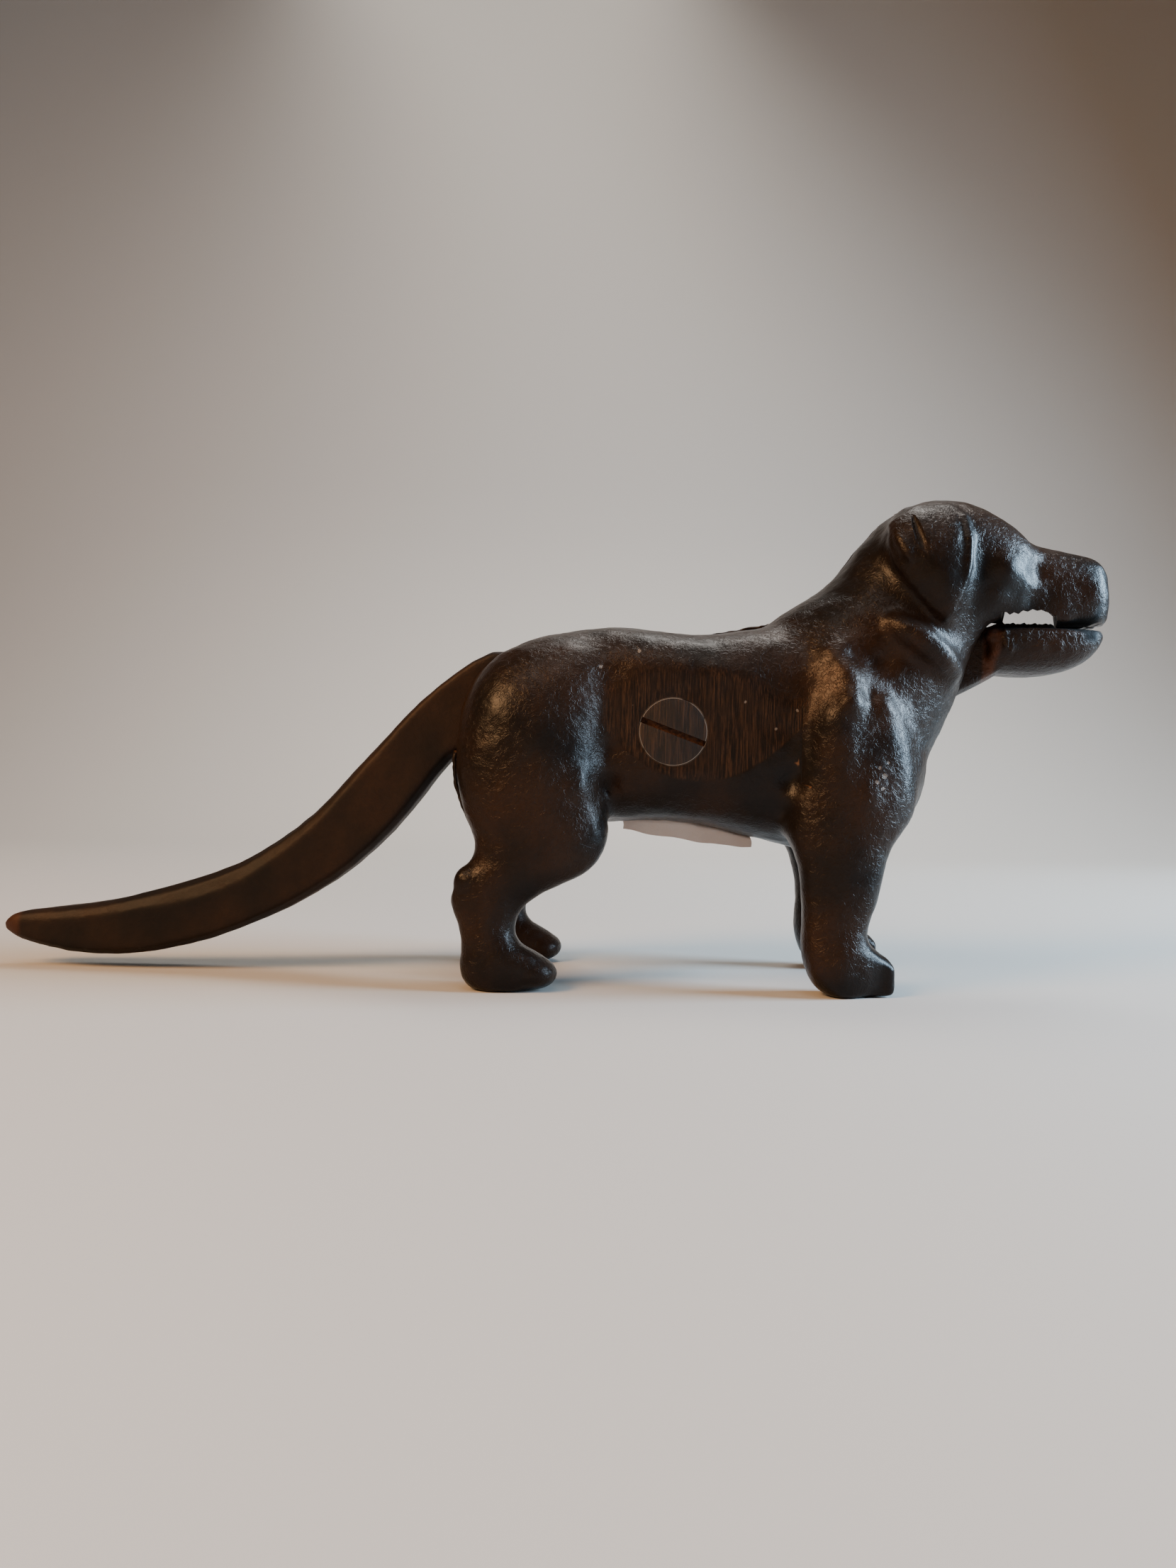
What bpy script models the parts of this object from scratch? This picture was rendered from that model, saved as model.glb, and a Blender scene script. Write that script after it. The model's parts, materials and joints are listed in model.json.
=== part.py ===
"""A cast-iron nutcracker in the shape of a standing dog.

Two hollow half castings meet on the dog's middle plane. One long lever lies between them: its
back end is the tail, its front end is the lower jaw, and it turns on a large flush screw that
also holds the halves together. Three dowel pins keep the halves in line.

The drawing below is in millimetres, with the nose at +X, the dog's left side at +Y and the feet
on Z = 0. The last step moves everything so that the origin is the middle of the floor under it.
"""

import math

import bmesh
import bpy
from mathutils import Matrix, Vector

MM = 0.001
RIGHT, LEFT = -1, 1

# Driving dimensions, in millimetres.
GAP = 0.3  # clearance between pieces that touch
PIVOT_X, PIVOT_Z = 27.2, 61.1
FLANK_Y = 23.0  # the ground flats on the flanks, from the middle plane
LEVER_HALF = 7.0  # half the thickness of the lever inside the body
SLOT_HALF = 7.5  # half the width of the slot that the lever moves in
CORE_HALF = 15.0  # how deep the cored hollows go from the middle plane
STRIDE = 6.2  # how far the left foreleg stands ahead of the right one
HEAD_RADIUS, HEAD_THICK = 8.0, 5.0
SHOULDER_RADIUS, THREAD_RADIUS = 5.0, 4.5
THREAD_START = 6.8
DRIVE_SLOT_WIDTH, DRIVE_SLOT_DEPTH, DRIVE_SLOT_ANGLE = 1.8, 2.2, -20.0
HUB_RADIUS = 12.5
DOWEL_RADIUS, DOWEL_LENGTH = 2.2, 14.0
TOOTH_PITCH, TOOTH_HEIGHT = 2.8, 0.7
LABEL_THICK = 0.3
CAST_VOXEL, CAST_SMOOTHING = 1.5, 7
CAST_SHARE = 0.105  # share of the fine casting mesh's triangles that is kept
ROUND_STEPS = 40  # sides of a round hole, pin or screw

# Torso, skull and muzzle: upright slices, as (x, lowest z, highest z, half width, squareness).
TORSO = [
    (-25.0, 57.0, 69.0, 8.0, 2.2),
    (-22.5, 50.0, 74.5, 13.0, 2.2),
    (-18.0, 44.5, 79.0, 17.0, 2.4),
    (-10.0, 40.5, 83.2, 20.0, 2.6),
    (0.0, 39.0, 86.4, 21.5, 2.8),
    (10.0, 38.6, 87.8, 22.4, 3.0),
    (20.0, 39.6, 87.4, 23.9, 3.2),
    (34.0, 39.2, 86.0, 24.4, 3.2),
    (46.0, 36.4, 87.8, 23.6, 3.0),
    (56.0, 34.2, 88.8, 22.8, 2.8),
    (68.0, 31.6, 86.0, 23.5, 2.4),
    (80.0, 35.0, 80.0, 22.5, 2.2),
    (87.5, 40.0, 70.0, 17.0, 2.0),
    (91.0, 47.0, 60.0, 8.0, 2.0),
]
SKULL = [
    (75.5, 97.0, 110.0, 7.0, 2.0),
    (79.0, 92.0, 115.2, 12.5, 2.1),
    (84.0, 88.0, 118.6, 16.2, 2.2),
    (90.0, 85.0, 121.2, 18.0, 2.3),
    (96.0, 84.0, 121.8, 18.4, 2.3),
    (102.0, 85.5, 120.6, 18.0, 2.3),
    (108.0, 87.0, 117.8, 17.2, 2.3),
    (112.5, 88.5, 114.8, 15.8, 2.3),
    (115.6, 90.0, 111.6, 14.0, 2.2),
    (117.2, 93.0, 109.0, 11.0, 2.0),
]
MUZZLE = [
    (104.0, 86.0, 111.0, 13.0, 2.5),
    (111.0, 86.0, 111.4, 13.0, 2.6),
    (118.0, 86.0, 110.6, 12.7, 2.7),
    (124.0, 86.0, 109.4, 12.5, 2.8),
    (129.6, 86.0, 108.4, 12.2, 2.8),
    (133.2, 86.5, 107.6, 11.2, 2.7),
    (135.2, 87.5, 105.8, 8.6, 2.6),
    (136.7, 89.0, 103.2, 4.0, 2.4),
]
# Neck: slices square to a rising line, as (x, z, half depth, half width, squareness).
NECK = [
    (62.0, 60.0, 27.0, 22.5, 2.2),
    (71.8, 72.4, 26.6, 22.3, 2.2),
    (79.8, 82.1, 23.2, 20.6, 2.2),
    (85.8, 91.2, 20.2, 18.4, 2.2),
    (91.0, 99.5, 19.6, 17.4, 2.2),
    (95.0, 105.0, 16.0, 15.0, 2.2),
]
# Limbs and ears: level slices, as (z, rearmost x, foremost x, inner y, outer y, squareness).
# Y is measured outwards from the middle plane.
HIND_LEG = [
    (85.0, -4.0, 12.0, 2.0, 14.0, 2.0),
    (80.0, -14.5, 15.0, 2.0, 22.0, 2.2),
    (72.0, -21.0, 13.6, 2.0, 26.8, 2.3),
    (62.0, -23.8, 11.8, 2.0, 29.2, 2.3),
    (52.0, -24.4, 11.0, 3.0, 30.4, 2.3),
    (44.0, -23.0, 11.6, 6.0, 30.6, 2.3),
    (38.0, -20.6, 13.0, 10.0, 30.2, 2.3),
    (33.0, -18.8, 12.0, 14.0, 29.8, 2.3),
    (29.0, -20.6, 9.6, 15.5, 29.4, 2.2),
    (26.0, -23.6, 5.0, 16.0, 29.0, 2.2),
    (23.0, -25.2, -1.5, 16.5, 28.8, 2.2),
    (20.0, -24.6, -6.2, 17.0, 28.6, 2.2),
    (16.5, -23.2, -8.4, 17.2, 28.6, 2.2),
    (13.0, -21.9, -8.9, 17.0, 28.8, 2.2),
    (10.5, -21.6, -7.6, 16.6, 29.2, 2.3),
    (9.0, -21.7, -3.4, 16.4, 29.6, 2.5),
    (6.5, -22.2, -0.4, 16.2, 29.9, 2.6),
    (3.5, -22.0, -0.4, 16.2, 29.9, 2.6),
    (1.2, -20.8, -2.4, 16.6, 29.5, 2.5),
    (-0.6, -18.0, -6.0, 17.4, 28.6, 2.4),
]
FORE_LEG = [
    (82.0, 60.0, 74.0, 2.0, 19.5, 2.0),
    (76.0, 58.0, 79.0, 2.0, 23.6, 2.1),
    (68.0, 57.0, 84.0, 2.0, 25.6, 2.2),
    (60.0, 55.5, 85.6, 2.0, 26.8, 2.2),
    (52.0, 54.0, 86.8, 2.0, 27.6, 2.3),
    (45.0, 53.2, 86.2, 4.0, 28.0, 2.3),
    (40.0, 53.4, 83.8, 8.0, 28.2, 2.3),
    (36.0, 54.8, 80.4, 12.0, 28.2, 2.3),
    (32.0, 56.6, 78.2, 14.5, 28.4, 2.3),
    (26.0, 57.6, 77.4, 15.5, 28.4, 2.3),
    (21.0, 58.0, 75.8, 16.0, 28.4, 2.3),
    (17.0, 58.0, 74.2, 16.2, 28.4, 2.3),
    (13.5, 57.8, 73.6, 16.2, 28.6, 2.3),
    (11.0, 57.8, 75.4, 16.0, 29.2, 2.4),
    (9.0, 58.2, 79.2, 15.8, 29.8, 2.6),
    (6.5, 58.8, 80.6, 15.8, 29.9, 2.8),
    (4.0, 59.8, 80.4, 15.8, 29.9, 2.8),
    (1.6, 61.6, 77.4, 16.2, 29.4, 2.6),
    (-0.6, 65.0, 73.0, 17.2, 28.6, 2.4),
]
SHOULDER_BLADE = [
    (84.0, 62.0, 69.0, 14.0, 21.0, 2.0),
    (78.0, 60.5, 72.5, 14.0, 25.6, 2.0),
    (70.0, 59.5, 73.0, 14.0, 28.0, 2.0),
    (62.0, 59.0, 73.0, 14.0, 28.6, 2.0),
    (54.0, 59.0, 74.0, 14.0, 28.6, 2.0),
    (46.0, 61.0, 74.0, 14.0, 28.2, 2.0),
]
EAR = [
    (118.5, 83.0, 95.0, 6.0, 11.0, 2.2),
    (115.0, 80.4, 97.6, 6.0, 16.4, 2.4),
    (110.5, 78.2, 98.8, 6.0, 20.0, 2.5),
    (105.5, 78.8, 99.2, 6.0, 21.8, 2.5),
    (101.0, 80.8, 98.8, 6.0, 22.6, 2.5),
    (96.5, 84.4, 97.6, 8.0, 22.6, 2.4),
    (92.5, 88.4, 95.8, 12.0, 21.8, 2.3),
    (89.0, 91.2, 94.2, 14.0, 20.2, 2.0),
]
# The neck fold under the ear: slices along it, as (x, z, y, radius).
NECK_FOLD = [
    (77.0, 90.0, 17.5, 1.4),
    (82.0, 87.0, 19.4, 2.6),
    (88.0, 82.8, 19.4, 3.0),
    (94.0, 78.6, 17.0, 2.8),
    (97.5, 76.4, 13.5, 1.6),
]
# Lever: slices from the tail's tip to the jaw, as (top x, top z, bottom x, bottom z, half
# thickness, height of the sloping shoulder under the top edge).
LEVER = [
    (-139.6, 10.6, -139.3, 8.8, 1.0, 0.6),
    (-137.6, 12.4, -136.4, 7.2, 2.8, 1.6),
    (-133.8, 13.6, -132.6, 6.0, 3.9, 2.4),
    (-124.0, 14.9, -122.5, 3.9, 5.0, 2.8),
    (-113.0, 16.5, -110.0, 3.3, 5.8, 3.0),
    (-102.0, 19.3, -98.0, 4.8, 6.2, 3.8),
    (-91.0, 22.7, -85.5, 8.1, 6.6, 4.8),
    (-80.0, 26.8, -73.0, 13.1, 6.8, 4.4),
    (-70.0, 32.8, -61.5, 19.2, 6.9, 3.4),
    (-60.6, 40.2, -51.0, 26.6, 7.0, 2.6),
    (-52.4, 49.2, -42.0, 35.2, 7.0, 2.1),
    (-44.2, 58.4, -34.0, 45.0, 7.0, 1.7),
    (-35.4, 68.0, -27.0, 54.0, 7.0, 1.3),
    (-26.6, 75.4, -19.0, 57.0, 7.0, 1.0),
    (-17.0, 81.2, -10.0, 56.6, 7.0, 1.0),
    (-7.0, 80.2, -2.0, 54.6, 7.0, 1.0),
    (4.0, 76.0, 6.0, 52.0, 7.0, 1.0),
    (16.0, 73.4, 15.0, 50.0, 7.0, 1.0),
    (27.2, 72.8, 27.2, 49.4, 7.0, 1.0),
    (40.0, 72.6, 41.0, 50.4, 7.0, 1.0),
    (56.0, 75.0, 59.0, 55.4, 7.0, 1.0),
    (72.0, 79.0, 76.0, 61.7, 7.0, 1.0),
    (88.0, 84.2, 92.5, 69.1, 7.0, 1.0),
    (99.0, 89.0, 101.8, 73.6, 7.0, 1.0),
    (112.0, 90.2, 112.0, 79.4, 7.0, 1.0),
]
# Lower jaw: upright slices, as (x, lowest z, rim z, half width).
JAW = [
    (105.6, 79.0, 88.3, 10.2),
    (107.4, 78.2, 88.8, 11.5),
    (111.5, 77.9, 88.9, 12.1),
    (118.0, 77.8, 89.0, 12.3),
    (124.0, 78.5, 88.9, 12.0),
    (128.6, 79.8, 88.9, 11.2),
    (132.2, 82.0, 89.0, 9.2),
    (134.6, 84.8, 89.2, 6.4),
    (136.0, 86.8, 89.3, 3.2),
]
TOOTH_START, TOOTH_END = 107.4, 121.6
PAD_HALF, PAD_BASE, PAD_TOP = 8.6, 86.0, 90.0
LIP_Z = 90.4
ROOF_Z = {RIGHT: 95.0, LEFT: 97.0}  # the left half's lip is cut higher
ROOF_SLOPE = 0.15  # how fast the roof of the mouth falls from the parting plane to the right lip

# Side outlines of what is cut from the halves, as (x, z).
MOUTH_BACK = [(110.0, 60.0), (99.8, 71.5), (99.4, 75.5), (100.8, 80.6), (102.4, 85.2), (104.2, 88.8), (107.4, 91.2)]
MOUTH_FRONT = [(123.8, LIP_Z), (150.0, LIP_Z), (150.0, 60.0)]
LEVER_SLOT = [
    (-60.0, 20.0),
    (-36.5, 40.5),
    (-27.4, 52.8),
    (-19.0, 55.6),
    (-10.0, 55.2),
    (4.0, 51.0),
    (15.0, 48.4),
    (24.0, 46.4),
    (36.0, 44.2),
    (56.0, 42.6),
    (78.0, 42.4),
    (94.0, 43.2),
    (120.0, 44.0),
    (120.0, 92.6),
    (104.0, 91.9),
    (99.0, 90.2),
    (88.0, 85.6),
    (72.0, 80.4),
    (56.0, 76.4),
    (44.0, 74.4),
    (28.0, 76.0),
    (20.0, 80.6),
    (12.5, 84.2),
    (9.6, 86.0),
    (9.0, 110.0),
    (-60.0, 110.0),
]
FRONT_CORE = [(48.0, 50.0), (70.0, 48.0), (84.0, 52.0), (89.0, 66.0), (84.0, 80.0), (74.0, 80.0), (56.0, 74.0), (48.0, 68.0)]
REAR_CORE = [(-14.0, 60.0), (4.0, 56.0), (11.0, 62.0), (11.0, 76.0), (2.0, 79.0), (-13.0, 74.0)]
GRINDING_BED = [(6.0, 34.0), (14.0, FLANK_Y), (54.0, FLANK_Y), (60.5, 34.0)]  # (x, y)
GRIND_LOW, GRIND_HIGH = 46.0, 82.0
DOWELS = {"head_dowel": (95.0, 106.0), "chest_dowel": (67.0, 37.8), "groin_dowel": (-5.0, 46.8)}
# Price label under the belly: slices along it, as (x, z where it is stuck, z of its hanging edge).
LABEL = [(16.5, 39.2, 37.8), (24.0, 39.4, 36.4), (33.0, 38.7, 35.0), (41.0, 37.0, 34.0), (48.6, 35.2, 33.6)]

COLOURS = {
    "japanned_iron": ((0.022, 0.014, 0.010), 0.42, 0.85),
    "rubbed_iron": ((0.030, 0.018, 0.012), 0.38, 0.85),
    "screw_steel": ((0.040, 0.026, 0.020), 0.45, 0.90),
    "dowel_steel": ((0.350, 0.340, 0.330), 0.40, 1.00),
    "label_paper": ((0.620, 0.520, 0.460), 0.85, 0.00),
}


def clear_scene():
    for thing in list(bpy.data.objects):
        bpy.data.objects.remove(thing)


def material(name):
    colour, roughness, metallic = COLOURS[name]
    made = bpy.data.materials.get(name) or bpy.data.materials.new(name)
    made.use_nodes = True
    shader = made.node_tree.nodes["Principled BSDF"]
    shader.inputs["Base Color"].default_value = (*colour, 1.0)
    shader.inputs["Roughness"].default_value = roughness
    shader.inputs["Metallic"].default_value = metallic
    return made


def new_object(name, form, material_name=None):
    """A mesh object from a bmesh drawn in millimetres; with no material it is a cutter."""
    bmesh.ops.recalc_face_normals(form, faces=form.faces)
    bmesh.ops.scale(form, vec=(MM, MM, MM), verts=form.verts)
    mesh = bpy.data.meshes.new(name)
    form.to_mesh(mesh)
    form.free()
    made = bpy.data.objects.new(name, mesh)
    bpy.context.scene.collection.objects.link(made)
    if material_name:
        mesh.materials.append(material(material_name))
    else:
        made.hide_render = True
        made.display_type = "WIRE"
    return made


def between(stations, steps):
    """The stations with steps - 1 smooth ones added between each two (a Catmull-Rom curve)."""
    filled = []
    last = len(stations) - 1
    for i in range(last):
        before, start, end, after = (stations[min(max(i + k, 0), last)] for k in (-1, 0, 1, 2))
        for step in range(steps):
            t = step / steps
            filled.append(
                tuple(
                    b + 0.5 * t * (c - a + t * (2 * a - 5 * b + 4 * c - d + t * (3 * (b - c) + d - a)))
                    for a, b, c, d in zip(before, start, end, after)
                )
            )
    return filled + [stations[-1]]


def rounded_outline(squareness, sides):
    """Points of a unit outline that is a circle at squareness 2 and boxier above it."""
    power = 2.0 / squareness
    for i in range(sides):
        angle = math.tau * (i + 0.5) / sides
        c, s = math.cos(angle), math.sin(angle)
        yield math.copysign(abs(c) ** power, c), math.copysign(abs(s) ** power, s)


def skin_rings(form, rings):
    """Adds a closed skin over rings of points that all have the same number of points."""
    loops = [[form.verts.new(point) for point in ring] for ring in rings]
    for near, far in zip(loops, loops[1:]):
        for i in range(len(near)):
            j = (i + 1) % len(near)
            form.faces.new((near[i], near[j], far[j], far[i]))
    form.faces.new(loops[0])
    form.faces.new(loops[-1])


def add_upright(form, stations, sides=24, steps=2):
    rings = []
    for x, low, high, half, squareness in between(stations, steps):
        middle, rise = (low + high) / 2, (high - low) / 2
        rings.append([(x, half * a, middle + rise * b) for a, b in rounded_outline(squareness, sides)])
    skin_rings(form, rings)


def add_level(form, stations, side, shift=0.0, sides=20, steps=2):
    rings = []
    for z, rear, front, inner, outer, squareness in between(stations, steps):
        x, length = (rear + front) / 2 + shift, (front - rear) / 2
        y, half = (inner + outer) / 2 * side, (outer - inner) / 2
        rings.append([(x + length * a, y + half * b, z) for a, b in rounded_outline(squareness, sides)])
    skin_rings(form, rings)


def add_rising(form, stations, sides=24, steps=2):
    """Slices square to the line through the stations, as for the neck."""
    filled = between(stations, steps)
    rings = []
    for i, (x, z, deep, half, squareness) in enumerate(filled):
        before, after = filled[max(i - 1, 0)], filled[min(i + 1, len(filled) - 1)]
        along = Vector((after[0] - before[0], after[1] - before[1])).normalized()
        across = Vector((-along.y, along.x))
        rings.append(
            [
                (x + deep * a * across.x, half * b, z + deep * a * across.y)
                for a, b in rounded_outline(squareness, sides)
            ]
        )
    skin_rings(form, rings)


def add_roll(form, stations, side, sides=12, steps=3):
    """A round roll along (x, z, y, radius) stations."""
    filled = between(stations, steps)
    rings = []
    for i, (x, z, y, radius) in enumerate(filled):
        here, ahead = Vector((x, y * side, z)), filled[min(i + 1, len(filled) - 1)]
        behind = filled[max(i - 1, 0)]
        along = Vector((ahead[0] - behind[0], (ahead[2] - behind[2]) * side, ahead[1] - behind[1]))
        first = along.cross(Vector((0.0, 1.0, 0.0))).normalized()
        second = along.cross(first).normalized()
        rings.append([here + radius * (a * first + b * second) for a, b in rounded_outline(2.0, sides)])
    skin_rings(form, rings)


def prism(name, outline, low, high, axis="Y", material_name=None):
    """A side outline (x, z) drawn out along Y, or a plan outline (x, y) drawn out along Z."""
    form = bmesh.new()
    place = (lambda a, b, c: (a, c, b)) if axis == "Y" else (lambda a, b, c: (a, b, c))
    skin_rings(form, [[place(a, b, c) for a, b in outline] for c in (low, high)])
    return new_object(name, form, material_name)


def add_cylinder(form, radius, low, high, x=PIVOT_X, z=PIVOT_Z):
    """A cylinder along Y from low to high."""
    turn = Matrix.Rotation(math.radians(90), 4, "X")
    bmesh.ops.create_cone(
        form,
        cap_ends=True,
        segments=ROUND_STEPS,
        radius1=radius,
        radius2=radius,
        depth=high - low,
        matrix=Matrix.Translation((x, (low + high) / 2, z)) @ turn,
    )


def cylinder(name, radius, low, high, x=PIVOT_X, z=PIVOT_Z, material_name=None):
    form = bmesh.new()
    add_cylinder(form, radius, low, high, x, z)
    return new_object(name, form, material_name)


def combine(target, other, operation="DIFFERENCE"):
    step = target.modifiers.new(f"{operation.lower()}_{other.name}", "BOOLEAN")
    step.operation = operation
    step.solver = "EXACT"
    step.object = other


def shade(thing, angle=40.0):
    thing.data.shade_smooth()
    thing.data.set_sharp_from_angle(angle=math.radians(angle))


def teeth(start, end, base, height):
    """Points of a saw-tooth line from start to end; height may be negative."""
    count = int((end - start) / TOOTH_PITCH)
    step = (end - start) / count
    points = []
    for i in range(count):
        points += [(start + i * step, base), (start + (i + 0.5) * step, base + height)]
    return points + [(end, base)]


def body_form(side):
    """The outside of one half: torso, neck and head, and the legs and ear of its own side."""
    stride = STRIDE if side == LEFT else 0.0
    form = bmesh.new()
    add_upright(form, TORSO)
    add_rising(form, NECK)
    add_upright(form, SKULL)
    add_upright(form, MUZZLE)
    add_level(form, HIND_LEG, side)
    add_level(form, SHOULDER_BLADE, side)
    fore_leg = [
        (z, rear + stride * ease_down(z), front + stride * ease_down(z), inner, outer, squareness)
        for z, rear, front, inner, outer, squareness in FORE_LEG
    ]
    add_level(form, fore_leg, side)
    add_level(form, EAR, side)
    add_roll(form, NECK_FOLD, side)
    return form


def ease_down(z, top=56.0, bottom=22.0):
    """How far a slice at height z has moved with the foot: 0 at the chest, 1 at the foot."""
    t = min(max((top - z) / (top - bottom), 0.0), 1.0)
    return t * t * (3.0 - 2.0 * t)


def body_half(name, side, cutters):
    """One half casting: the outside, blended and then cut to the middle plane and hollowed."""
    half = new_object(name, body_form(side), "japanned_iron")
    blend = half.modifiers.new("blend", "REMESH")
    blend.mode = "VOXEL"
    blend.voxel_size = CAST_VOXEL * MM
    soften = half.modifiers.new("soften", "SMOOTH")
    soften.factor = 0.5
    soften.iterations = CAST_SMOOTHING
    thin = half.modifiers.new("thin", "DECIMATE")
    thin.ratio = CAST_SHARE
    for cutter in cutters:
        combine(half, cutter)
    return half


def side_cutters(side):
    """What is cut from one half only."""
    word = "right" if side == RIGHT else "left"
    far = 40.0

    def span(a, b):
        return (a, b) if a < b else (b, a)

    roof = ROOF_Z[side]
    crown = [(109.4, roof - 0.5), *teeth(TOOTH_START + 2.8, TOOTH_END, roof - TOOTH_HEIGHT, TOOTH_HEIGHT)]
    corners = [(-60.0, -10.0), (160.0, -10.0), (160.0, 140.0), (-60.0, 140.0)]
    mouth = prism(f"{word}_mouth", MOUTH_BACK + crown + [(123.0, LIP_Z + 2.0)] + MOUTH_FRONT, -20.0, 20.0)
    if side == RIGHT:
        for corner in mouth.data.vertices:
            if corner.co.z > (LIP_Z + 1.0) * MM:
                corner.co.z += ROOF_SLOPE * corner.co.y
    cutters = [
        prism(f"{word}_parting", corners, *span(side * GAP / 2, -side * far)),
        mouth,
        prism(f"{word}_front_core", FRONT_CORE, *span(0.0, side * CORE_HALF)),
        prism(f"{word}_rear_core", REAR_CORE, *span(0.0, side * CORE_HALF)),
        prism(f"{word}_grinding", [(x, side * y) for x, y in GRINDING_BED], GRIND_LOW, GRIND_HIGH, "Z"),
    ]
    if side == RIGHT:
        seat = FLANK_Y - HEAD_THICK - GAP
        cutters.append(cylinder("head_seat", HEAD_RADIUS + GAP, -far, -seat))
        cutters.append(cylinder("shoulder_hole", SHOULDER_RADIUS + GAP, -far, far))
    else:
        cutters.append(cylinder("thread_hole", THREAD_RADIUS + GAP, -far, far))
    return cutters


def shared_cutters():
    """What is cut from both halves: floor, lever slot and dowel holes."""
    cutters = [
        prism("floor", [(-60.0, -10.0), (160.0, -10.0), (160.0, 0.0), (-60.0, 0.0)], -60.0, 60.0),
        prism("lever_slot", LEVER_SLOT, -SLOT_HALF, SLOT_HALF),
    ]
    for name, (x, z) in DOWELS.items():
        reach = DOWEL_LENGTH / 2 + GAP
        cutters.append(cylinder(f"{name}_hole", DOWEL_RADIUS + GAP, -reach, reach, x, z))
    return cutters


def lever_ring(top_x, top_z, bottom_x, bottom_z, half, shoulder):
    """A slice of the lever: flat sides, a sloping shoulder to the top and a small lower chamfer."""
    top, bottom = Vector((top_x, 0.0, top_z)), Vector((bottom_x, 0.0, bottom_z))
    depth = (top - bottom).length
    chamfer = min(1.4, 0.25 * depth)
    right = [
        (0.42, depth),
        (0.80, depth - 0.32 * shoulder),
        (1.00, depth - shoulder),
        (1.00, chamfer),
        (0.55, 0.0),
    ]
    outline = right + [(-share, height) for share, height in reversed(right)]
    up = (top - bottom).normalized()
    return [bottom + height * up + Vector((0.0, share * half, 0.0)) for share, height in outline]


def jaw_ring(x, low, rim, half, sides=14):
    """A slice of the lower jaw: a flat rim over a rounded keel."""
    edge = 1.2
    ring = [(x, half - edge, rim), (x, half, rim - edge)]
    for i in range(1, sides):
        angle = math.pi * i / sides
        power = 2.0 / 2.5
        across = math.copysign(abs(math.cos(angle)) ** power, math.cos(angle))
        ring.append((x, half * across, rim - edge - (rim - edge - low) * math.sin(angle) ** power))
    return ring + [(x, -half, rim - edge), (x, edge - half, rim)]


def tail_and_jaw_lever(pivot):
    """The one casting that is the tail, the hub and the lower jaw, with its origin on the pivot."""
    form = bmesh.new()
    skin_rings(form, [lever_ring(*station) for station in between(LEVER, 2)])
    lever = new_object("tail_and_jaw_lever", form, "rubbed_iron")
    form = bmesh.new()
    skin_rings(form, [jaw_ring(*station) for station in between(JAW, 2)])
    combine(lever, new_object("jaw_body", form), "UNION")
    pad = [(TOOTH_END, PAD_BASE), (TOOTH_START, PAD_BASE), *teeth(TOOTH_START, TOOTH_END, PAD_TOP, TOOTH_HEIGHT)]
    combine(lever, prism("jaw_pad", pad, -PAD_HALF, PAD_HALF), "UNION")
    combine(lever, cylinder("hub", HUB_RADIUS, -LEVER_HALF - 0.2, LEVER_HALF + 0.2), "UNION")
    combine(lever, cylinder("hub_bore", SHOULDER_RADIUS + GAP, -20.0, 20.0))
    lever.data.transform(Matrix.Translation(-pivot.location))
    lever.parent = pivot
    for step in lever.modifiers:
        step.object.data.transform(Matrix.Translation(-pivot.location))
        step.object.parent = pivot
    return lever


def pivot_screw():
    """Flush head with a driver slot, a plain shoulder through the lever and a threaded end."""
    form = bmesh.new()
    profile = [
        (HEAD_RADIUS, -FLANK_Y),
        (HEAD_RADIUS, -FLANK_Y + HEAD_THICK),
        (SHOULDER_RADIUS, -FLANK_Y + HEAD_THICK),
        (SHOULDER_RADIUS, THREAD_START),
        (THREAD_RADIUS, THREAD_START + 0.6),
        (THREAD_RADIUS, FLANK_Y - 1.0),
        (THREAD_RADIUS - 0.7, FLANK_Y - 0.3),
    ]
    rings = [
        [
            (PIVOT_X + radius * math.cos(math.tau * i / ROUND_STEPS), y, PIVOT_Z + radius * math.sin(math.tau * i / ROUND_STEPS))
            for i in range(ROUND_STEPS)
        ]
        for radius, y in profile
    ]
    skin_rings(form, rings)
    screw = new_object("pivot_screw", form, "screw_steel")
    form = bmesh.new()
    turn = Matrix.Rotation(math.radians(-DRIVE_SLOT_ANGLE), 4, "Y")
    size = Matrix.Diagonal((3 * HEAD_RADIUS, 2 * DRIVE_SLOT_DEPTH, DRIVE_SLOT_WIDTH, 1.0))
    bmesh.ops.create_cube(form, size=1.0, matrix=Matrix.Translation((PIVOT_X, -FLANK_Y, PIVOT_Z)) @ turn @ size)
    combine(screw, new_object("drive_slot", form))
    return screw


def dowel(name, x, z):
    """A straight pin along Y with a chamfer at each end."""
    half, chamfer = DOWEL_LENGTH / 2, 0.6
    profile = [
        (DOWEL_RADIUS - chamfer, -half),
        (DOWEL_RADIUS, chamfer - half),
        (DOWEL_RADIUS, half - chamfer),
        (DOWEL_RADIUS - chamfer, half),
    ]
    form = bmesh.new()
    sides = ROUND_STEPS // 2
    rings = [
        [(radius * math.cos(math.tau * i / sides), y, radius * math.sin(math.tau * i / sides)) for i in range(sides)]
        for radius, y in profile
    ]
    skin_rings(form, rings)
    pin = new_object(name, form, "dowel_steel")
    pin.location = Vector((x, 0.0, z)) * MM
    return pin


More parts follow.
